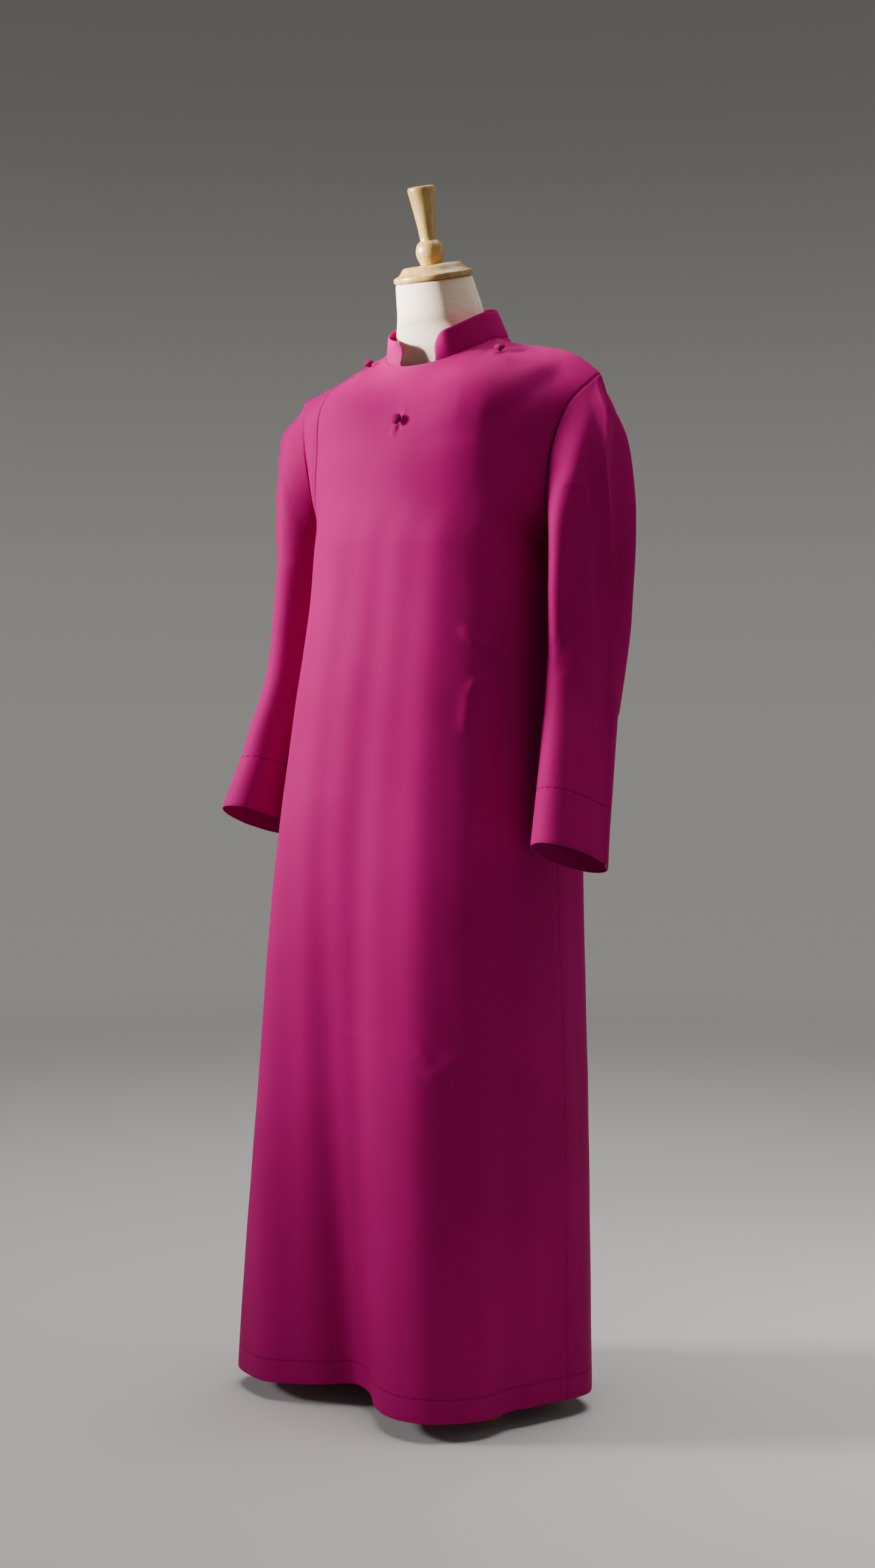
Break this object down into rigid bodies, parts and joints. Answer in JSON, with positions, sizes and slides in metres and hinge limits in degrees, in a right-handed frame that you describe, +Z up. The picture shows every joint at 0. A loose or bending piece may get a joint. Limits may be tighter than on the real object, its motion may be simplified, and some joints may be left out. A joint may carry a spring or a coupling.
{
  "type": "cassock on dress form",
  "caption": "Full-length purple cassock with a standing collar and a front that wraps to the right shoulder, worn by a limbless dress form on a low wooden stand.",
  "frame": {"origin": "on the floor under the middle of the stand, at the foot of its hub", "axes": "+Z up; the wearer faces -Y, so the wearer's left is +X"},
  "size_m": [0.59, 0.4099, 1.6157],
  "materials": {
    "cloth": "fine matt-satin twill, bishop's purple",
    "form_linen": "ivory linen cover, stretched smooth",
    "beech": "turned beech, satin lacquer",
    "pole": "satin steel tube"
  },
  "bodies": {
    "root": {"front_left_overlap": "cloth", "front_right_underlap": "cloth", "back_panel": "cloth", "sleeve_left_top": "cloth", "sleeve_left_under": "cloth", "sleeve_right_top": "cloth", "sleeve_right_under": "cloth", "collar_band": "cloth", "collar_right_end": "cloth", "button_chest": "cloth", "button_left_shoulder": "cloth", "button_right_shoulder": "cloth", "form_torso": "form_linen", "neck_cap": "beech", "neck_finial": "beech", "stand_hub": "beech", "stand_leg_1": "beech", "stand_leg_2": "beech", "stand_leg_3": "beech", "stand_pole": "pole"}
  },
  "joints": []
}
